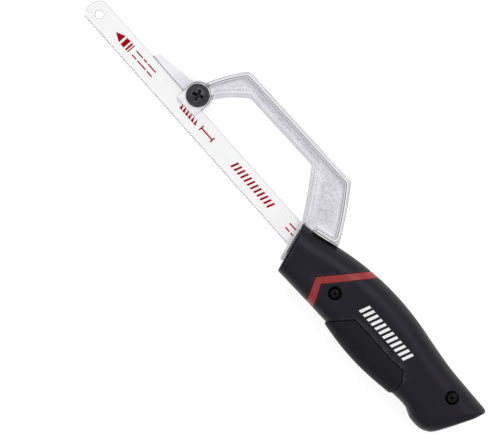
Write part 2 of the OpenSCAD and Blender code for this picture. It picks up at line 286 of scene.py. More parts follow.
FLANGE = Outline(rounded([
    (159.2, 7.4), (160.5, 7.4), (165.6, -7.6), (168, -14.2, 0.9), (167.4, -15.3, 0.7),
    (165.8, -14.4, 0.8),
]))
NECK = Outline([(160.6, 3), (167.2, 3), (167.2, 9.6), (160.6, 9.6)])
TANG = Outline(rounded([
    (160.8, 4.6), (168, 6), (182, 8.6, 2), (214, 8.6, 3), (214, -10.4, 3), (166, -10.4),
]))
TANG_ROOM = Outline([
    (150, 4.7), (160.8, 4.7), (168, 6.1), (182, 8.7), (214.1, 8.7), (214.1, -10.5), (150, -10.5),
])
PAD = Outline(rounded([
    (207, -26), (208.6, -19.6), (218.4, -6.4, 2), (250, -6.2, 8), (257.2, -5.2, 1.5),
    (262, -11, 2), (262.8, -26),
]))
STRIPE = Outline(rounded([
    (210.2, 25), (186.8, -7, 0.6), (196, -25), (201.9, -25), (191.7, -7.6, 0.6), (215.2, 25),
]))
PLATE = Outline(rounded([
    (CLAMP_AT[0] - PLATE_HALF_W, CLAMP_AT[1]),
    (CLAMP_AT[0] - PLATE_HALF_W, CLAMP_AT[1] - PLATE_REACH, 2),
    (CLAMP_AT[0] + PLATE_HALF_W, CLAMP_AT[1] - PLATE_REACH, 2),
    (CLAMP_AT[0] + PLATE_HALF_W, CLAMP_AT[1]),
]))

# Top and underside of the handle, each run on past the handle's ends
HANDLE_TOP = through([
    (140, 3), (160.7, 7.6), (171, 9.5), (183, 13.1), (197, 16.5), (212, 18.7), (228, 19.5),
    (244, 18.6), (260, 16.5), (274, 15), (289, 14.5), (306, 14.1), (325, 13.6),
])
HANDLE_UNDERSIDE = through([
    (150, -20.8), (170.4, -20.4), (178, -20.1), (188, -19.8), (199, -19.5), (212, -19.3),
    (226, -19.3), (240, -19), (254, -18.4), (262, -18.1), (268.5, -17.5), (273, -17.7),
    (276.4, -18.9), (279, -19.9), (283, -20.1), (287, -19.7), (290.4, -18.2), (293.6, -15.4),
    (297.4, -9.6), (306, 6),
])
FRONT_FACE = ((160.7, 7.6), (170.4, -20.4))
REAR_FACE = ((292.2, -19.4), (306, 14.1))
PAD_SWELL_X = (206, 264)


def pad_underside():
    """Handle's underside with the swell of the grip pads."""
    start, end = PAD_SWELL_X
    share = np.clip((HANDLE_UNDERSIDE[:, 0] - start) / (end - start), 0, 1)
    swell = PAD_BELLY * np.sin(math.pi * share) ** 0.8
    return HANDLE_UNDERSIDE - np.stack([np.zeros_like(swell), swell], 1)


# Areas below the top and above the underside, closed far from the handle
FAR = 80
UNDER_TOP = Outline([*HANDLE_TOP, (325, -FAR), (140, -FAR)])
OVER_UNDERSIDE = Outline([*HANDLE_UNDERSIDE, (306, FAR), (150, FAR)])
OVER_PAD_UNDERSIDE = Outline([*pad_underside(), (306, FAR), (150, FAR)])


# ---- Fields ----

def hypot(a, b):
    return np.sqrt(a * a + b * b)


def both(a, b, r=0.0):
    """What two fields share, with the edge between them rounded to a radius."""
    return np.minimum(np.maximum(a, b), -r) + hypot(np.maximum(a + r, 0), np.maximum(b + r, 0))


def either(a, b, r=0.0):
    """Two fields together, with a fillet between them."""
    return -both(-a, -b, r)


def without(a, b, r=0.0):
    """First field with the second one cut out of it."""
    return both(a, -b, r)


def between(value, low, high):
    """Slab between two values of a coordinate."""
    return np.abs(value - (low + high) / 2) - (high - low) / 2


def prism(side, z, low, high, r=0.0):
    """Outline of the side view made thick along Z."""
    return both(side, between(z, low, high), r)


def radius(x, y, at):
    return hypot(x - at[0], y - at[1])


def beyond(x, y, face):
    """Distance past a face seen edge on, to the left of the way from its first point to its
    second."""
    (ax, ay), (bx, by) = face
    length = math.hypot(bx - ax, by - ay)
    return ((x - ax) * (ay - by) + (y - ay) * (bx - ax)) / length


def casting(x, y, z):
    """Frame: rims round a web, nose with ring and finger, flange, and the tang in the handle."""
    deep = np.abs(z) - HALF_WEB
    draft = POCKET_DRAFT * (deep - (HALF_FRAME - HALF_WEB) / 2)
    hollow = both(POCKET(x, y) - draft, -deep, 0.6)
    rims = prism(SPINE(x, y), z, -HALF_FRAME, HALF_FRAME, 0.8)
    field = without(rims, hollow, 0.35)
    field = either(field, prism(NECK(x, y), z, -HALF_WEB, HALF_WEB))
    post = radius(x, y, CLAMP_AT) - (RING_R + RING_WALL)
    post = prism(post, z, -HALF_FRAME, RING_TOP_Z, 0.35)
    field = either(field, post, 0.5)
    lip_z = FINGER_TOP_Z - FINGER_SLOPE * (FINGER_END_X - x)
    finger = both(FINGER(x, y), between(z, FINGER_LOW_Z, lip_z), 0.7)
    nose = prism(NOSE(x, y), z, -HALF_FRAME, CLAMP_PAD_Z, 0.5)
    field = either(field, either(nose, finger, 0.6), 0.6)
    field = either(field, prism(FLANGE(x, y), z, -HALF_FRAME, HALF_FRAME, 0.5), 0.5)
    field = either(field, prism(TANG(x, y), z, -HALF_TANG, HALF_TANG, 0.4))
    return without(field, casting_cuts(x, y, z), 0.12)


def casting_cuts(x, y, z):
    """Room for the blade, the clamp plate, the screws and the nut."""
    blade_side = both(y - BLADE_BACK_Y - BLADE_GAP, x - SEAT_END_X)
    room = both(blade_side, SEAT_Z - z)
    ring = radius(x, y, CLAMP_AT)
    plate_side = both(between(x, CLAMP_AT[0] - RING_R, CLAMP_AT[0] + RING_R), y - CLAMP_AT[1])
    plate_side = np.maximum(plate_side, TOOTH_TIP_Y - y)
    room = either(room, both(either(plate_side, ring - RING_R), CLAMP_PAD_Z - z))
    room = either(room, both(ring - RING_R - RING_WALL - 0.1, RING_TOP_Z - z))
    room = either(room, ring - CLAMP_HOLE_R)
    nut_pocket = hexagon(x, y, CLAMP_AT, NUT_POCKET_HALF_FLATS)
    room = either(room, both(nut_pocket, z + HALF_FRAME - NUT_H))
    slot = both(between(x, *SLOT_X), between(y, -SLOT_HALF_H, SLOT_HALF_H))
    room = either(room, both(slot, np.abs(z) - HALF_SLOT))
    hole = both(radius(x, y, FRONT_SCREW_AT) - SCREW_HOLE_R, np.abs(z) - HALF_TANG - 3)
    return either(room, hole)


def hexagon(x, y, at, half_flats):
    """Distance to a hexagon with two corners along X."""
    u, v = np.abs(x - at[0]), np.abs(y - at[1])
    return np.maximum(v, u * math.cos(math.pi / 6) + v / 2) - half_flats


def handle_form(x, y, z, over_underside=OVER_UNDERSIDE):
    """Handle's full form: flat sides that turn over to its top by an ellipse, and to its
    underside by a squarer curve."""
    top = -UNDER_TOP(x, y)
    bottom = -over_underside(x, y)
    half = HALF_HANDLE * np.interp(x, TAPER_X, TAPER)
    near_top = 1 - top / TOP_BLEND
    near_bottom = 1 - bottom / BOTTOM_BLEND
    edge = np.maximum(np.maximum(near_top, near_bottom), 0)
    blend = np.where(near_top > near_bottom, TOP_BLEND, BOTTOM_BLEND)
    power = np.where(near_top > near_bottom, TOP_POWER, BOTTOM_POWER)
    height = np.abs(z) / half
    size = np.maximum((edge ** power + height ** power) ** (1 / power), 1e-6)
    slope = hypot((edge / size) ** (power - 1) / blend, (height / size) ** (power - 1) / half)
    return (size - 1) / np.maximum(slope, 0.5 / HALF_HANDLE)


def handle_body(x, y, z):
    """Outside of the two shells together, with its two end faces."""
    form = handle_form(x, y, z)
    from_front = beyond(x, y, FRONT_FACE)
    field = both(form, SHELL_START - from_front, 0.3)
    step = both(from_front - SHELL_START - STEP_W, HALF_HANDLE - 2 * STEP_W - np.abs(z))
    field = without(field, both(step, STEP_LOW_Y - y), 0.12)
    return both(field, -beyond(x, y, REAR_FACE), np.interp(y, [5, 10], [1.0, 3.2]))


def shell(x, y, z, recessed_rear):
    """Right shell, or the left one mirrored. Only the right one has a recess for the rear screw."""
    body = handle_body(x, y, z)
    form = handle_form(x, y, z)
    ring = radius(x, y, REAR_SCREW_AT)
    front_ring = radius(x, y, FRONT_SCREW_AT)
    cavity = both(form + SHELL_WALL, between(x, 170, 297), 1)
    cavity = np.maximum(cavity, body + SHELL_WALL)
    cavity = without(cavity, ring - BOSS_R, 0.3)
    cavity = without(cavity, both(front_ring - BOSS_R, TANG_ROOM_Z - z), 0.3)
    for rib_x in RIBS_X:
        cavity = without(cavity, between(x, rib_x, rib_x + RIB_W), 0.3)
    field = without(both(body, -z, 0.28), cavity)
    field = without(field, both(TANG_ROOM(x, y), z - TANG_ROOM_Z))
    neck = both(x - 167.3, z - HALF_WEB - 0.1)
    field = without(field, neck)
    slot_side = both(np.abs(y) - SLOT_HALF_H, x - REAR_SCREW_AT[0] + BOSS_R)
    field = without(field, both(slot_side, z - HALF_SLOT))
    for outline in (PAD, STRIPE):
        pocket = both(outline(x, y), -form - INLAY_DEPTH)
        field = without(field, pocket, 0.12)
    field = without(field, screw_recess(front_ring, form, z), 0.1)
    if recessed_rear:
        field = without(field, screw_recess(ring, form, z), 0.1)
    return field


def screw_recess(ring, form, z):
    """Counterbore with a chamfered mouth, and the hole under it."""
    mouth = (ring - RECESS_R - RECESS_CHAMFER - form) * math.sqrt(0.5)
    bore = either(both(ring - RECESS_R, SCREW_SEAT_Z - z), ring - 2)
    return either(bore, both(mouth, SCREW_SEAT_Z - z))


def inlay(x, y, z, outline, outer, gap, edge):
    """Piece let into the shell, with an even gap round it."""
    field = both(outer, outline(x, y) + gap, edge)
    field = without(field, handle_form(x, y, z) + INLAY_DEPTH - 0.05)
    return both(field, -z, 0.12)


def grip_pad(x, y, z):
    outer = handle_form(x, y, z, OVER_PAD_UNDERSIDE) - PAD_PROUD
    return inlay(x, y, z, PAD, outer, 0.15, 1.6)


def stripe(x, y, z):
    return inlay(x, y, z, STRIPE, handle_form(x, y, z) + 0.03, 0.08, 0.2)


def thread(x, y, z, at, r, depth):
    """Rod with a right-hand thread."""
    turn = np.arctan2(y - at[1], x - at[0]) / (2 * math.pi)
    phase = (z / THREAD_PITCH - turn) % 1
    crest = np.clip(1.35 - 2.7 * np.abs(phase - 0.5), 0, 1)
    return (radius(x, y, at) - r + depth * (1 - crest)) * 0.7


def cross_recess(x, y, depth, turn, reach, half_width, bottom):
    """Tapered cross recess at a depth under the head's top."""
    u = x * math.cos(turn) + y * math.sin(turn)
    v = y * math.cos(turn) - x * math.sin(turn)
    long = reach - 0.28 * depth
    short = half_width - 0.09 * depth
    arm = both(np.abs(u) - long, np.abs(v) - short)
    other = both(np.abs(v) - long, np.abs(u) - short)
    hub = hypot(u, v) - 1.45 * short
    return both(either(either(arm, other), hub, 0.1), depth - bottom)


def clamp_screw(x, y, z):
    """Domed head on a thin flange, with a cross recess and a threaded shank."""
    z = z - HEAD_Z
    ring = radius(x, y, CLAMP_AT)
    flange = both(ring - HEAD_R, between(z, 0, HEAD_FLANGE_H), 0.5)
    dome = hypot(ring, z - HEAD_H + HEAD_DOME_R) - HEAD_DOME_R
    dome = both(dome, both(ring - HEAD_R + 0.75, -z), 0.4)
    field = either(flange, dome, 0.15)
    recess = cross_recess(
        x - CLAMP_AT[0], y - CLAMP_AT[1], HEAD_H - z,
        turn=math.radians(24), reach=3.5, half_width=0.9, bottom=2.3)
    field = without(field, recess, 0.14)
    tip = -HEAD_Z - HALF_FRAME
    shank = both(thread(x, y, z, CLAMP_AT, CLAMP_SHANK_R, 0.5), between(z, tip, 0.2))
    chamfer = (ring - CLAMP_SHANK_R + (tip + 0.6 - z)) * math.sqrt(0.5)
    neck = both(ring - 2.6, between(z, tip + 4, 0.3))
    return either(field, either(np.maximum(shank, chamfer), neck))


def handle_screw(x, y, z, at, tip_z):
    """Pan head with a cross recess on a threaded shank."""
    ring = radius(x, y, at)
    z = z - SCREW_SEAT_Z
    dome = hypot(ring, z - PAN_H + PAN_DOME_R) - PAN_DOME_R
    head = both(both(dome, ring - PAN_R, 0.35), -z, 0.15)
    recess = cross_recess(
        x - at[0], y - at[1], PAN_H - z,
        turn=math.radians(38), reach=1.6, half_width=0.42, bottom=1.4)
    head = without(head, recess, 0.08)
    shank = thread(x, y, z, at, PAN_SHANK_R, 0.3)
    shank = both(shank, between(z, tip_z - SCREW_SEAT_Z, 0.2))
    return either(head, shank)


def nut(x, y, z):
    """Hexagon nut with chamfered corners."""
    ring = radius(x, y, CLAMP_AT)
    low, high = -HALF_FRAME, -HALF_FRAME + NUT_H
    body = prism(hexagon(x, y, CLAMP_AT, NUT_HALF_FLATS), z, low, high, 0.12)
    chamfer = (ring - 5.15) * 0.5 + between(z, low, high) * 0.87
    bore = ring - 3 - np.maximum(between(z, low, high) + 0.5, 0) * 0.8
    return without(both(body, chamfer, 0.1), bore)


def clamp_plate(x, y, z):
    """Plate that bridges from the nose to the blade, with a rolled edge."""
    side = either(PLATE(x, y), radius(x, y, CLAMP_AT) - PLATE_HALF_W)
    field = prism(side, z, PLATE_LOW_Z, PLATE_HIGH_Z, 0.45)
    return without(field, radius(x, y, CLAMP_AT) - CLAMP_HOLE_R, 0.15)


# ---- Meshes ----

CORNERS = np.array([(i, j, k) for i in (0, 1) for j in (0, 1) for k in (0, 1)])
CELL_EDGES = [
    (a, b) for a in range(8) for b in range(a + 1, 8)
    if np.abs(CORNERS[a] - CORNERS[b]).sum() == 1
]
TETRA = np.array([(1, -1, -1), (-1, -1, 1), (-1, 1, -1), (1, 1, 1)])

# Cells by which the grid starts early, so that its planes miss the flat faces
GRID_SHIFT = 1.37

SNAPS = 3
SNAP_REACH = 0.02
NORMAL_REACH = 0.06
EDGE_CORNER_REACH = 0.8


def surface_net(field, low, high, step):
    """Points and quads of a field's surface, with one point in each cell that it crosses."""
    low = np.array(low, float) - GRID_SHIFT * step
    axes = [np.arange(a, b + 2 * step, step) for a, b in zip(low, high)]
    values = field(axes[0][:, None, None], axes[1][None, :, None], axes[2][None, None, :])
    inside = values < 0
    cells = np.array(values.shape) - 1
    count = np.zeros(cells, np.int8)
    for i, j, k in CORNERS:
        count += inside[i:i + cells[0], j:j + cells[1], k:k + cells[2]]
    at = np.argwhere((count > 0) & (count < 8))
    number = np.full(cells, -1)
    number[tuple(at.T)] = np.arange(len(at))
    corner_values = [values[tuple((at + corner).T)] for corner in CORNERS]
    total = np.zeros((len(at), 3))
    hits = np.zeros(len(at))
    for a, b in CELL_EDGES:
        cut = (corner_values[a] < 0) != (corner_values[b] < 0)
        gap = np.where(cut, corner_values[a] - corner_values[b], 1)
        share = corner_values[a] / gap
        place = CORNERS[a] + share[:, None] * (CORNERS[b] - CORNERS[a])
        total += np.where(cut[:, None], place, 0)
        hits += cut
    points = low + (at + total / hits[:, None]) * step
    quads = [net_quads(inside, number, cells, axis) for axis in range(3)]
    return points, np.vstack(quads)


def net_quads(inside, number, cells, axis):
    """Quads across the grid edges that run along one axis and cross the surface."""
    u, v = np.eye(3, dtype=int)[(axis + 1) % 3], np.eye(3, dtype=int)[(axis + 2) % 3]
    start = np.moveaxis(inside, axis, 0)[:-1]
    end = np.moveaxis(inside, axis, 0)[1:]
    at = np.argwhere(np.moveaxis(start != end, 0, axis))
    ring = [number[tuple((at - back).T)] for back in (0 * u, u, u + v, v)]
    ring = np.stack(ring, 1)
    return np.where(inside[tuple(at.T)][:, None], ring, ring[:, ::-1])


def sample(field, points, reach):
    """Value and slope of a field at points, from four samples round each."""
    value = np.zeros(len(points))
    slope = np.zeros((len(points), 3))
    for tip in TETRA:
        there = field(*(points + reach * tip).T)
        value += there / 4
        slope += there[:, None] * tip / (4 * reach)
    return value, slope


def new_object(name, points, faces):
    """Object with a mesh given in the layout's millimetres."""
    mesh = bpy.data.meshes.new(name)
    mesh.from_pydata((np.asarray(points) - ORIGIN) * MM, [], faces)
    piece = bpy.data.objects.new(name, mesh)
    bpy.context.scene.collection.objects.link(piece)
    return piece


def thin_out(piece, share):
    """Drops faces where the surface is flat, down to a share of them."""
    modifier = piece.modifiers.new("thin_out", "DECIMATE")
    modifier.ratio = share
    depsgraph = bpy.context.evaluated_depsgraph_get()
    mesh = bpy.data.meshes.new_from_object(piece.evaluated_get(depsgraph))
    piece.modifiers.clear()
    old, piece.data = piece.data, mesh
    bpy.data.meshes.remove(old)
    mesh.name = piece.name


def layout_points(mesh):
    flat = np.zeros(len(mesh.vertices) * 3)
    mesh.vertices.foreach_get("co", flat)
    return flat.reshape(-1, 3) / MM + ORIGIN


def store(mesh, name, values):
    """Stores one number per point, for the materials."""
    mesh.attributes.new(name, "FLOAT", "POINT")
    mesh.attributes[name].data.foreach_set("value", values.astype(np.float32))


def add_wear_and_shade_masks(mesh, field, points, normals):
    """Stores how sharp an edge is, and how deep a corner is, at each point. Materials paint shade
    into the deep corners.
    """
    inner = -field(*(points - EDGE_CORNER_REACH * normals).T) / EDGE_CORNER_REACH
    outer = field(*(points + EDGE_CORNER_REACH * normals).T) / EDGE_CORNER_REACH
    store(mesh, "edge", np.clip(1 - inner, 0, 1))
    store(mesh, "corner", np.clip(1 - outer, 0, 1))


def moulded(name, field, low, high, step, share, mirrored=False):
    """Object made of a field's surface within a box, on a grid with a given step, of which a
    share of the faces is kept. Its normals come from the field."""
    points, quads = surface_net(field, low, high, step)
    for _ in range(SNAPS):
        value, slope = sample(field, points, SNAP_REACH)
        move = value / np.maximum((slope ** 2).sum(1), 0.25)
        points = points - np.clip(move, -step / 2, step / 2)[:, None] * slope
    piece = new_object(name, points, quads)
    thin_out(piece, share)
    mesh = piece.data
    points = layout_points(mesh)
    normals = sample(field, points, NORMAL_REACH)[1]
    normals /= np.maximum(np.linalg.norm(normals, axis=1), 1e-9)[:, None]
    add_wear_and_shade_masks(mesh, field, points, normals)
    if mirrored:
        mirror_in_blade(mesh)
        normals = normals * (1, 1, -1)
    mesh.polygons.foreach_set("use_smooth", np.ones(len(mesh.polygons), bool))
    mesh.normals_split_custom_set_from_vertices(normals)
    return piece


def mirror_in_blade(mesh):
    """Turns a right-hand mesh into a left-hand one, across the blade's middle plane."""
    points = layout_points(mesh) * (1, 1, -1)
    mesh.vertices.foreach_set("co", ((points - ORIGIN) * MM).ravel())
    mesh.flip_normals()
    mesh.update()


def put(piece, body, slot, material, *nodes):
    """Gives a piece its material, unless it has its own, and its body, and hides the CAD nodes that
    it stands for. The slot is not used."""
    if not piece.data.materials:
        piece.data.materials.append(material)
    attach(piece, body)
    if nodes:
        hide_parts(*nodes)


# ---- Materials ----

class Graph:
    """A material's nodes, in short calls."""

    def __init__(self, name):
        self.material = bpy.data.materials.new(name)
        self.material.use_nodes = True
        self.tree = self.material.node_tree
        self.shader = self.tree.nodes["Principled BSDF"]
        self.place = self.add("ShaderNodeTexCoord").outputs["Object"]

    def add(self, kind, **settings):
        node = self.tree.nodes.new(kind)
        for key, value in settings.items():
            setattr(node, key, value)
        return node

    def node(self, kind, **sockets):
        """Node with its sockets fed by name."""
        node = self.add("ShaderNode" + kind)
        for key, value in sockets.items():
            self.feed(node.inputs[key], value)
        return node

    def shade(self, key, value):
        self.feed(self.shader.inputs[key], value)

    def feed(self, socket, value):
        if isinstance(value, bpy.types.NodeSocket):
            self.tree.links.new(value, socket)
        else:
            socket.default_value = value

    def noise(self, size, detail=2.0, rough=0.5, stretch=(1, 1, 1)):
        """Noise whose features are about size millimetres across."""
        scale = [1 / (size * MM * s) for s in stretch]
        mapping = self.node("Mapping", Vector=self.place, Scale=scale)
        node = self.node(
            "TexNoise", Vector=mapping.outputs[0], Scale=1, Detail=detail, Roughness=rough)
        return node.outputs[0]

    def span(self, value, low, high, to_low=0.0, to_high=1.0):
        """Maps a value from one range to another, without going past its ends."""
        node = self.add("ShaderNodeMapRange", clamp=True)
        for socket, number in zip(node.inputs, (value, low, high, to_low, to_high)):
            self.feed(socket, number)
        return node.outputs[0]

    def math(self, operation, a, b=0.0):
        node = self.add("ShaderNodeMath", operation=operation)
        self.feed(node.inputs[0], a)
        self.feed(node.inputs[1], b)
        return node.outputs[0]

    def mix(self, share, a, b):
        # Sockets 6 and 7 are the two colours
        node = self.add("ShaderNodeMix", data_type="RGBA")
        for index, value in ((0, share), (6, a), (7, b)):
            self.feed(node.inputs[index], value)
        return node.outputs[2]

    def line(self, value, middle, half, share):
        """Share that is highest where a value is at the middle and is gone a half away from it."""
        away = self.math("ABSOLUTE", self.math("SUBTRACT", value, middle))
        return self.math("MULTIPLY", self.span(away, half * 0.3, half, 0.9, 0), share)

    def stored(self, name):
        """Number that the mesh stores at each point."""
        return self.add("ShaderNodeAttribute", attribute_name=name).outputs["Fac"]

    def axis(self, index):
        """One coordinate in the frame, in metres."""
        return self.node("SeparateXYZ", Vector=self.place).outputs[index]

    def bump(self, height, depth, before=None):
        """Bump whose full height is depth millimetres."""
        node = self.node("Bump", Distance=depth * MM, Height=height)
        if before:
            self.feed(node.inputs["Normal"], before)
        return node.outputs[0]

    def seam(self, color, half, other, share=1.0):
        """Thin line of another colour in the blade's plane, where two halves meet."""
        return self.mix(self.line(self.axis(2), BLADE_PLANE, half * MM, share), color, other)

    def paint_corner_shade(self, color):
        """Paints shade into deep corners: blackens them, and makes them metal there so that they
        lose their gloss too.
        """
        # Share of painted shade, from how deep the corner is
        corner_shade = self.span(self.stored("corner"), 0.25, 0.75, 0, 0.95)
        self.shade("Metallic", corner_shade)
        return self.mix(corner_shade, color, rgb(4, 4, 5))

    def finish(self, color, roughness, normal=None, **constants):
        """Feeds the shader. Constants are named as its sockets are, in small letters."""
        self.shade("Base Color", color)
        self.shade("Roughness", roughness)
        if normal:
            self.shade("Normal", normal)
        for key, value in constants.items():
            self.shade(key.replace("_", " ").title().replace("Ior", "IOR"), value)
        return self.material


def rgb(red, green, blue):
    """Linear colour from one given in 0 to 255, as a screen shows it."""
    def linear(value):
        value = value / 255
        return value / 12.92 if value <= 0.04045 else ((value + 0.055) / 1.055) ** 2.4
    return (linear(red), linear(green), linear(blue), 1)


def cast_metal():
    """Cast aluminium, rubbed whiter along the finger.

    The mesh stores two distances in millimetres: "wall" from the pocket's outline and "arm" from
    the window's. Far from the window lies the outer rim, which has a bumped lip and groove. Lines of
    painted highlight and shade run along both rims' walls, and the web is painted lighter next to
    the outer wall."""
    g = Graph("cast_metal")
    cloud = g.noise(14, 3)
    grain = g.noise(1.2, 4, 0.75)
    fine = g.noise(0.2, 2)
    rubbed = g.span(g.axis(0), RUBBED_X[1], RUBBED_X[0], 0, 0.5)
    edge = g.stored("edge")
    wall = g.stored("wall")
    outer = g.span(g.stored("arm"), 4.2, 5)
    inner = g.span(g.stored("arm"), 5, 4.2)
    web = g.span(wall, -0.4, -1)
    color = g.mix(g.span(cloud, 0.3, 0.7), rgb(211, 210, 217), rgb(222, 221, 227))
    skin = g.math("ADD", 0.4, g.math("MULTIPLY", web, 0.4))
    color = g.mix(g.math("MULTIPLY", g.span(grain, 0.42, 0.6), skin), color, rgb(180, 179, 186))
    color = g.mix(rubbed, color, rgb(247, 246, 250))
    color = g.mix(g.span(edge, 0.15, 0.6, 0, 0.5), color, rgb(240, 240, 244))
    # Painted light on the web, brightest next to the outer rim's wall
    near = g.math("MULTIPLY", g.math("MULTIPLY", g.span(wall, -5, -1, 0, 0.45), web), outer)
    color = g.mix(near, color, rgb(250, 250, 254))
    # Painted highlight along the lip and painted shade in the groove; both also feed the bump below
    lip_highlight = g.line(wall, 0.25, 0.42, outer)
    groove_shade = g.line(wall, 0.75, 0.34, outer)
    # Lines painted along the rims' walls: highlights in white, shade in greys and near-black, on the
    # outer rim and the inner one
    for mask, other in (
        (lip_highlight, rgb(255, 255, 255)),
        (g.line(wall, 1.25, 0.35, outer), rgb(246, 246, 249)),
        (g.line(wall, 2.7, 1, g.math("MULTIPLY", outer, 0.6)), rgb(176, 176, 182)),
        (groove_shade, rgb(64, 64, 70)),
        (g.line(wall, -0.2, 0.6, inner), rgb(255, 255, 255)),
        (g.line(wall, 1, 0.35, g.math("MULTIPLY", inner, 0.6)), rgb(150, 150, 156)),
    ):
        color = g.mix(mask, color, other)
    color = g.seam(color, 0.35, rgb(160, 160, 166), 0.5)
    rough = g.math("ADD", g.span(grain, 0.3, 0.7, 0.36, 0.52), g.span(edge, 0.1, 0.6, 0, -0.1))
    normal = g.bump(grain, 0.09, g.bump(fine, 0.02))
    normal = g.bump(g.math("SUBTRACT", lip_highlight, groove_shade), 0.12, normal)
    return g.finish(color, rough, normal, metallic=0.4)


def blade_lacquer():
    """White lacquer with a slight orange peel and streaks along the blade."""
    g = Graph("blade_lacquer")
    peel = g.noise(1.6, 2)
    dust = g.noise(26, 4, 0.6)
    streak = g.noise(1, 3, 0.6, stretch=(30, 0.7, 1))
    color = g.mix(g.span(dust, 0.3, 0.75, 0, 1), rgb(242, 242, 242), rgb(234, 234, 235))
    color = g.mix(g.span(streak, 0.62, 0.8, 0, 0.25), color, rgb(205, 205, 208))
    rough = g.span(streak, 0.3, 0.7, 0.3, 0.42)
    normal = g.bump(peel, 0.012, g.bump(streak, 0.004))
    return g.finish(color, rough, normal, coat_weight=0.2, coat_roughness=0.2)


def ground_steel():
    """Bare steel of the blade's edges, with grinding lines."""
    g = Graph("ground_steel")
    lines = g.noise(0.5, 3, 0.6, stretch=(0.25, 6, 6))
    spots = g.noise(3, 3)
    color = g.mix(g.span(lines, 0.3, 0.7), rgb(84, 84, 88), rgb(116, 116, 120))
    color = g.mix(g.span(spots, 0.6, 0.8, 0, 0.4), color, rgb(78, 76, 76))
    return g.finish(color, g.span(lines, 0.3, 0.7, 0.35, 0.5), g.bump(lines, 0.01), metallic=0.3)


def tooth_steel(strip_y, tip_y):
    """White lacquer that is ground away towards the teeth, with a weld line at its top."""
    g = Graph("tooth_steel")
    lines = g.noise(0.4, 3, 0.6, stretch=(0.3, 5, 5))
    ragged = g.noise(1.2, 3, 0.6)
    waver = g.math("MULTIPLY", g.span(ragged, 0.3, 0.7, -1, 1), 0.12 * MM)
    height = g.math("ADD", g.axis(1), waver)
    bare = g.span(height, tip_y + 1.25 * MM, tip_y + 0.95 * MM)
    steel = g.mix(g.span(lines, 0.3, 0.7), rgb(104, 104, 108), rgb(146, 146, 150))
    color = g.mix(bare, rgb(240, 240, 242), steel)
    from_weld = g.math("ABSOLUTE", g.math("SUBTRACT", g.axis(1), strip_y))
    weld = g.span(from_weld, 0, 0.25 * MM, 0.15, 0)
    color = g.mix(weld, color, rgb(214, 214, 217))
    rough = g.span(lines, 0.3, 0.7, 0.3, 0.45)
    g.shade("Metallic", g.math("MULTIPLY", bare, 0.4))
    return g.finish(color, rough, g.bump(lines, 0.008))


def plated_steel(name, dark, light):
    """Bright plating, whiter on edges, with painted shade in its deep corners."""
    g = Graph(name)
    cloud = g.noise(4, 4, 0.6)
    fine = g.noise(0.35, 3)
    color = g.mix(g.span(cloud, 0.3, 0.7), dark, light)
    # Painted shade: greyer in deep corners
    color = g.mix(g.span(g.stored("corner"), 0.3, 0.9, 0, 0.4), color, rgb(140, 140, 142))
    color = g.mix(g.span(g.stored("edge"), 0.2, 0.7, 0, 0.5), color, rgb(248, 248, 248))
    rough = g.span(cloud, 0.3, 0.7, 0.26, 0.42)
    return g.finish(color, rough, g.bump(fine, 0.012), metallic=0.75)


def black_oxide(name, dark, light, gloss):
    """Patchy black skin on steel, rubbed grey on its edges."""
    g = Graph(name)
    cloud = g.noise(3.2, 3, 0.55)
    fine = g.noise(0.3, 3)
    color = g.mix(g.span(cloud, 0.35, 0.65), dark, light)
    patches = g.span(cloud, 0.4, 0.65, 0.2, 0.8)
    worn = g.math("MULTIPLY", g.span(g.stored("edge"), 0.25, 0.8), patches)
    color = g.mix(g.math("MULTIPLY", worn, gloss), color, rgb(112, 112, 116))
    # Painted shade in deep corners, such as the cross recess
    color = g.paint_corner_shade(color)
    rough = g.span(cloud, 0.3, 0.7, 0.28, 0.46)
    return g.finish(color, rough, g.bump(fine, 0.01), specular_ior_level=gloss)


SEAM_HALF = 0.2
SEAM_BLACK = rgb(5, 5, 6)
VIOLET_TINT = (0.88, 0.84, 1, 1)


def shell_plastic():
    """Black plastic with a fine spark-eroded skin."""
    g = Graph("shell_plastic")
    spark = g.noise(0.32, 2, 0.6)
    cloud = g.noise(18, 4, 0.6)
    rubbed = g.noise(5, 4, 0.65)
    color = g.mix(g.span(cloud, 0.3, 0.7), rgb(12, 11, 17), rgb(17, 16, 22))
    patches = g.span(rubbed, 0.42, 0.65, 0.1, 0.6)
    worn = g.math("MULTIPLY", g.span(g.stored("edge"), 0.3, 0.8), patches)
    color = g.mix(worn, color, rgb(74, 74, 78))
    # Painted shade in deep corners, then the dark seam line between the halves
    color = g.seam(g.paint_corner_shade(color), SEAM_HALF, SEAM_BLACK)
    rough = g.math("ADD", g.span(cloud, 0.3, 0.7, 0.42, 0.5), g.span(spark, 0.3, 0.7, -0.03, 0.03))
    return g.finish(color, rough, g.bump(spark, 0.02), specular_ior_level=0.23,
                    specular_tint=VIOLET_TINT)


def pad_rubber():
    """Soft black rubber, duller than the shell."""
    g = Graph("pad_rubber")
    skin = g.noise(0.5, 3, 0.6)
    cloud = g.noise(12, 4, 0.6)
    color = g.mix(g.span(cloud, 0.3, 0.7), rgb(18, 17, 21), rgb(22, 21, 25))
    color = g.mix(g.span(g.stored("edge"), 0.3, 0.8, 0, 0.3), color, rgb(50, 49, 53))
    # Painted shade in deep corners, then the dark seam line between the halves
    color = g.seam(g.paint_corner_shade(color), SEAM_HALF, SEAM_BLACK)
    rough = g.span(cloud, 0.3, 0.7, 0.58, 0.68)
    return g.finish(color, rough, g.bump(skin, 0.03), specular_ior_level=0.16,
                    specular_tint=VIOLET_TINT)


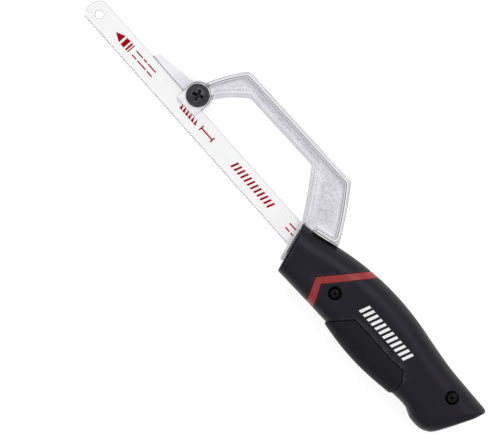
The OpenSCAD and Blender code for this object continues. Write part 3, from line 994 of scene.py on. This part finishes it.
def stripe_plastic():
    """Red plastic with the shell's skin."""
    g = Graph("stripe_plastic")
    spark = g.noise(0.32, 2, 0.6)
    cloud = g.noise(9, 4, 0.6)
    color = g.mix(g.span(cloud, 0.3, 0.7), rgb(138, 24, 27), rgb(151, 31, 34))
    color = g.mix(g.span(g.stored("edge"), 0.3, 0.9, 0, 0.4), color, rgb(120, 30, 32))
    color = g.seam(color, SEAM_HALF, rgb(60, 10, 11))
    rough = g.span(cloud, 0.3, 0.7, 0.4, 0.5)
    return g.finish(color, rough, g.bump(spark, 0.02), specular_ior_level=0.4)


def ink(name, dark, light):
    """Printed ink that covers a little unevenly."""
    g = Graph(name)
    cover = g.noise(0.6, 4, 0.65)
    color = g.mix(g.span(cover, 0.35, 0.7), dark, light)
    rough = g.span(cover, 0.3, 0.7, 0.38, 0.5)
    return g.finish(color, rough, g.bump(cover, 0.006), specular_ior_level=0.02)


# ---- Blade, teeth and printed marks ----

def arc(centre, r, start, end, steps):
    """Points from one angle to another, in degrees."""
    return [
        (centre[0] + r * math.cos(math.radians(a)), centre[1] + r * math.sin(math.radians(a)))
        for a in np.linspace(start, end, steps + 1)
    ]


def inset(loop, depth):
    """Loop moved to the left of its way by a small depth."""
    loop = np.array(loop)
    ahead = np.roll(loop, -1, 0) - loop
    ahead /= np.linalg.norm(ahead, axis=1)[:, None]
    left = np.stack([-ahead[:, 1], ahead[:, 0]], 1)
    middle = left + np.roll(left, 1, 0)
    middle /= (middle ** 2).sum(1)[:, None] / 2
    return loop + middle * depth


def plate(name, loops, half, chamfer, square_y):
    """Thin plate with chamfered edges, but for the one that runs along a given height. The first
    loop is the outside, and the others are holes that run the other way round. Chamfers and edges
    take the second material."""
    points, faces, kinds = [], [], []
    caps = {-1: [], 1: []}
    for loop in loops:
        rings = []
        loop = np.array(loop)
        smaller = inset(loop, chamfer)
        smaller[:, 1] = np.where(loop[:, 1] < square_y + chamfer, loop[:, 1], smaller[:, 1])
        for ring, z in (
            (smaller, -half), (loop, chamfer - half), (loop, half - chamfer), (smaller, half),
        ):
            rings.append(len(points))
            points += [(x, y, z) for x, y in ring]
        n = len(loop)
        for low, high in zip(rings, rings[1:]):
            for i in range(n):
                j = (i + 1) % n
                faces.append((low + i, low + j, high + j, high + i))
                kinds.append(1)
        caps[-1].append(range(rings[0], rings[0] + n))
        caps[1].append(range(rings[-1], rings[-1] + n))
    for side, groups in caps.items():
        order = [i for group in groups for i in group]
        veclist = [[Vector(points[i]) for i in group] for group in groups]
        for tri in tessellate_polygon(veclist):
            corners = [order[i] for i in tri]
            a, b, c = (np.array(points[i][:2]) for i in corners)
            if ((b[0] - a[0]) * (c[1] - a[1]) - (b[1] - a[1]) * (c[0] - a[0])) * side < 0:
                corners.reverse()
            faces.append(tuple(corners))
            kinds.append(0)
    piece = new_object(name, points, faces)
    piece.data.polygons.foreach_set("material_index", kinds)
    return piece


def make_blade(length, half):
    """Spring-steel back with its round ends and pin holes."""
    turn = math.degrees(math.asin(-STRIP_TOP_Y / BLADE_END_R))
    top = math.degrees(math.asin(BLADE_BACK_Y / BLADE_END_R))
    near = BLADE_END_R - BLADE_END
    far = length - 2 * BLADE_END - near
    outside = (
        arc((far, 0), BLADE_END_R, -turn, top, 16)
        + arc((near, 0), BLADE_END_R, 180 - top, 180 + turn, 16)
    )
    holes = [arc((x, 0), PIN_HOLE_R, 360, 0, 32)[:-1] for x in (0, length - 2 * BLADE_END)]
    return plate("blade_back", [outside] + holes, half, BLADE_CHAMFER, STRIP_TOP_Y)


def strip_ends(length, y):
    """Where the blade's round ends reach a height."""
    start = BLADE_END_R - BLADE_END - math.sqrt(BLADE_END_R ** 2 - y ** 2)
    return start, length - 2 * BLADE_END - start


def tooth_sheet(length, count, start, end):
    """Points of the strip's middle: a row at its top, one above the roots, one along them, and
    the tips. The teeth sway from side to side."""
    root_y = TOOTH_TIP_Y + TOOTH_DEPTH
    top_start, top_end = strip_ends(length, STRIP_TOP_Y)
    roots = []
    for i in range(count):
        roots += [start + i * TOOTH_PITCH, start + (i + TOOTH_BACK) * TOOTH_PITCH]
    roots.append(end)
    roots = np.array(roots)
    tops = top_start + (roots - start) * (top_end - top_start) / (end - start)
    sway = SET_DEPTH * np.sin(2 * math.pi * roots / SET_WAVE)
    rows = []
    for x, y, shift in (
        (tops, STRIP_TOP_Y, 0),
        (tops * 0.3 + roots * 0.7, root_y + 0.5, 0),
        (roots, root_y, sway * 0.7),
    ):
        rows.append(np.stack([x, np.full_like(roots, y), np.zeros_like(roots) + shift], 1))
    tips = np.stack([roots[:-1:2], np.full(count, TOOTH_TIP_Y), sway[:-1:2] * 1.3], 1)
    return np.vstack(rows + [tips])


def make_teeth(length, half):
    """Hard strip with its teeth: two sides with the same points, and the rim between them."""
    start, end = strip_ends(length, TOOTH_TIP_Y + TOOTH_DEPTH)
    count = int((end - start) / TOOTH_PITCH)
    sheet = tooth_sheet(length, count, start, end)
    n = 2 * count + 1
    flat, rim = [], []
    for row in range(2):
        for i in range(n - 1):
            a = row * n + i
            flat.append((a, a + n, a + n + 1, a + 1))
    for i in range(count):
        root, tip = 2 * n + 2 * i, 3 * n + i
        flat.append((root, tip, root + 1))
        rim += [(root, tip), (tip, root + 1), (root + 1, root + 2)]
    rim += [(0, n), (n, 2 * n)]
    rim += [(3 * n - 1, 2 * n - 1), (2 * n - 1, n - 1)]
    rim += [(i + 1, i) for i in range(n - 1)]
    m = len(sheet)
    points = np.vstack([sheet + (0, 0, half), sheet - (0, 0, half)])
    faces = flat + [tuple(i + m for i in reversed(face)) for face in flat]
    faces += [(b, a, a + m, b + m) for a, b in rim]
    return new_object("tooth_row", points, faces)


def mark(name, shapes, low, high):
    """Printed marks: flat shapes, each a closed layer of ink between two heights."""
    points, faces = [], []
    for shape in shapes:
        first, n = len(points), len(shape)
        points += [(x, y, low) for x, y in shape] + [(x, y, high) for x, y in shape]
        faces.append(tuple(first + i for i in reversed(range(n))))
        faces.append(tuple(first + n + i for i in range(n)))
        for i in range(n):
            j = (i + 1) % n
            faces.append((first + i, first + j, first + n + j, first + n + i))
    return new_object(name, points, faces)


def bar(x, width, low, high, lean=0.0):
    """Upright bar, or one that leans along X by a distance at its top."""
    return [(x, low), (x + width, low), (x + width + lean, high), (x + lean, high)]


def leaning_bars(x, widths, gap, low, high, lean=0.0):
    """Row of bars with even gaps."""
    shapes = []
    for width in widths:
        shapes.append(bar(x, width, low, high, lean))
        x += width + gap
    return shapes


def blade_marks():
    """Arrow to the blade's free end, then plain bars, triangles and dashes with no lettering."""
    shapes = [[(13.2, 0.4), (18.5, -2.2), (18.5, 3)]]
    for x, width in ((19.8, 2.7), (23.5, 1.2), (25.3, 0.7)):
        shapes.append(bar(x, width, -2.2, 3))
    for x in (28.5, 155.4, 186):
        shapes += leaning_bars(x, (5.2, 2.6, 6.4), 0.9, 1.5, 2.3)
        shapes += leaning_bars(x, (3.4, 6.8, 4.2), 0.9, -1.7, -0.9)
    for i in range(6):
        x = 67.5 + 2.3 * i
        shapes.append([(x, -1.3), (x + 2, -1.3), (x, 2.2)])
    shapes += [bar(83.5, 0.8, -1.3, 2.2), bar(84.3, 8.2, 0, 0.9), bar(92.5, 0.8, -1.3, 2.2)]
    shapes += leaning_bars(110, [1.3] * 12, 1.4, -1.7, 2.9, 1.4)
    shapes += leaning_bars(208, [1.35] * 6, 1.45, -1.7, 2.9, 1.4)
    return shapes


# ---- Pieces ----

def make_frame():
    """Casting with the distances by which its material paints lines of highlight and shade, and the
    nut in its nose.
    """
    piece = moulded("frame_casting", casting, (35, -16.5, -6.5), (214.5, 43, 6.5), 0.5, 0.42)
    x, y = layout_points(piece.data).T[:2]
    store(piece.data, "wall", POCKET(x, y))
    store(piece.data, "arm", np.maximum(WINDOW(x, y), 0))
    put(piece, "saw", "cast_frame", cast_metal(), "frame")
    plated = plated_steel("plated_steel", rgb(196, 197, 200), rgb(222, 222, 224))
    piece = moulded("clamp_nut_hex", nut, (63, 5, -6.6), (76, 17, -2.4), 0.25, 0.5)
    put(piece, "saw", "nut_steel", plated, "clamp_nut")


def make_clamp():
    bright = plated_steel("bright_plate", rgb(232, 232, 234), rgb(244, 244, 245))
    piece = moulded("clamp_plate_bridge", clamp_plate, (62, 1, 0.3), (77, 18.5, 2.3), 0.25, 0.5)
    put(piece, "clamp", "clamp_plate_steel", bright, "clamp_plate")
    black = black_oxide("black_oxide", rgb(19, 18, 23), rgb(48, 47, 54), 0.46)
    piece = moulded("clamp_screw_domed", clamp_screw, (62.5, 4, -6.6), (76.1, 18, 6.1), 0.2, 0.5)
    put(piece, "screw", "black_screw", black, "clamp_screw")


def make_handle_screw(name, node, at, tip_z, material, mirrored=False):
    field = partial(handle_screw, at=at, tip_z=tip_z)
    low = (at[0] - PAN_R - 0.2, at[1] - PAN_R - 0.2, tip_z - 0.1)
    high = (at[0] + PAN_R + 0.2, at[1] + PAN_R + 0.2, 11.8)
    piece = moulded(name, field, low, high, 0.18, 0.5, mirrored)
    put(piece, "saw", "black_screw", material, node)


def make_handle(print_white):
    """Shells with their pads, stripes and screws, and the mark on the right shell."""
    plastic = shell_plastic()
    rubber = pad_rubber()
    red = stripe_plastic()
    burnt = black_oxide("burnt_oxide", rgb(8, 8, 9), rgb(14, 14, 15), 0.12)
    for side, left in (("right", False), ("left", True)):
        field = partial(shell, recessed_rear=not left)
        piece = moulded("shell_" + side, field, (160, -21, 0), (307, 20, 12.6), 0.42, 0.3, left)
        put(piece, "saw", "shell_plastic", plastic, "handle_shell_" + side)
        piece = moulded("pad_" + side, grip_pad, (207, -23, 0), (264, -4.5, 13.2), 0.38, 0.4, left)
        put(piece, "saw", "pad_rubber", rubber, "grip_pad_" + side)
        piece = moulded("chevron_" + side, stripe, (184, -21, 0), (214, 20, 12.6), 0.35, 0.4, left)
        put(piece, "saw", "stripe_plastic", red, "stripe_" + side)
        make_handle_screw("front_screw_pan_" + side, "front_screw_" + side,
                          FRONT_SCREW_AT, FRONT_SCREW_TIP_Z, burnt, left)
    make_handle_screw("rear_screw_pan", "rear_screw", REAR_SCREW_AT, REAR_SCREW_TIP_Z, burnt)
    bars = leaning_bars(216.2, [1.7] * 12, gap=1.48, low=-1.75, high=4.4, lean=1.85)
    piece = mark("handle_mark", bars, HALF_HANDLE - 0.05, HALF_HANDLE + 0.03)
    put(piece, "saw", "shell_plastic", print_white)


def make_blade_set(print_red):
    """Blade back, which has two materials, tooth strip and print."""
    low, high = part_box("blade")
    length = (high.x - low.x) / MM
    half = (high.z - low.z) / 2 / MM
    piece = make_blade(length, half)
    for material in (blade_lacquer(), ground_steel()):
        piece.data.materials.append(material)
    put(piece, "blade_set", "blade_lacquer", None, "blade")
    steel = tooth_steel(in_frame(STRIP_TOP_Y, 1), in_frame(TOOTH_TIP_Y, 1))
    put(make_teeth(length, half), "blade_set", "tooth_steel", steel, "tooth_strip")
    piece = mark("blade_print", blade_marks(), half - 0.02, half + 0.015)
    put(piece, "blade_set", "blade_lacquer", print_red)


# ---- Stage ----

VIEW_TURN = math.radians(48.35)
VIEW_CENTRE = (138.8, -17.0)
VIEW_WIDTH = 0.2686
LENS = 300
SENSOR = 36
FLOOR_REACH = 8000
FLOOR_GLOW = 0.78
STUDIO_GLOW = 0.8
WHITE = (1, 1, 1, 1)


def make_camera():
    """Camera straight over the saw, turned so that the blade runs down to the right."""
    data = bpy.data.cameras.new("camera")
    data.sensor_width = SENSOR
    data.lens = LENS
    data.clip_end = 20
    camera = bpy.data.objects.new("camera", data)
    distance = VIEW_WIDTH * LENS / SENSOR
    camera.location = (
        in_frame(VIEW_CENTRE[0], 0),
        in_frame(VIEW_CENTRE[1], 1),
        BLADE_PLANE + distance,
    )
    camera.rotation_euler = (0, 0, VIEW_TURN)
    bpy.context.scene.collection.objects.link(camera)
    bpy.context.scene.camera = camera


def make_light(name, azimuth, elevation, distance, size, radiance):
    """Square soft box at an azimuth in the image: 0 is right and 90 is up."""
    data = bpy.data.lights.new(name, "AREA")
    data.shape = "RECTANGLE"
    data.size, data.size_y = size
    data.energy = radiance * math.pi * size[0] * size[1]
    light = bpy.data.objects.new(name, data)
    turn = VIEW_TURN + math.radians(azimuth)
    lift = math.radians(elevation)
    flat = math.cos(lift)
    away = Vector((flat * math.cos(turn), flat * math.sin(turn), math.sin(lift)))
    light.location = away * distance
    light.rotation_euler = away.to_track_quat("Z", "Y").to_euler()
    bpy.context.scene.collection.objects.link(light)


def pale_floor():
    """Pale floor with a glow of its own, which keeps it as white as the photo's ground."""
    g = Graph("pale_floor")
    cloud = g.span(g.noise(60, 3), 0.3, 0.7)
    color = g.mix(cloud, (0.38, 0.38, 0.38, 1), (0.4, 0.4, 0.4, 1))
    g.shade("Emission Color", WHITE)
    g.shade("Emission Strength", FLOOR_GLOW)
    return g.finish(color, 0.7, specular_ior_level=0.1)


def make_stage():
    """Floor under the saw, an even white world and one soft key light."""
    corners = [(-1, -1), (1, -1), (1, 1), (-1, 1)]
    points = [(x * FLOOR_REACH, y * FLOOR_REACH, ORIGIN[2]) for x, y in corners]
    floor = new_object("floor", points, [(0, 1, 2, 3)])
    floor.data.materials.append(pale_floor())

    world = bpy.data.worlds.new("studio")
    world.use_nodes = True
    background = world.node_tree.nodes["Background"]
    background.inputs["Color"].default_value = WHITE
    background.inputs["Strength"].default_value = STUDIO_GLOW
    bpy.context.scene.world = world
    make_light(
        "key", azimuth=52, elevation=55, distance=1.3, size=(0.9, 0.75), radiance=2.9)
    bpy.context.scene.view_settings.view_transform = "Standard"


make_camera()
make_stage()
red_ink = ink("red_ink", rgb(152, 0, 12), rgb(174, 4, 20))
white_ink = ink("white_ink", rgb(222, 222, 224), rgb(240, 240, 242))
make_blade_set(red_ink)
make_frame()
make_clamp()
make_handle(white_ink)
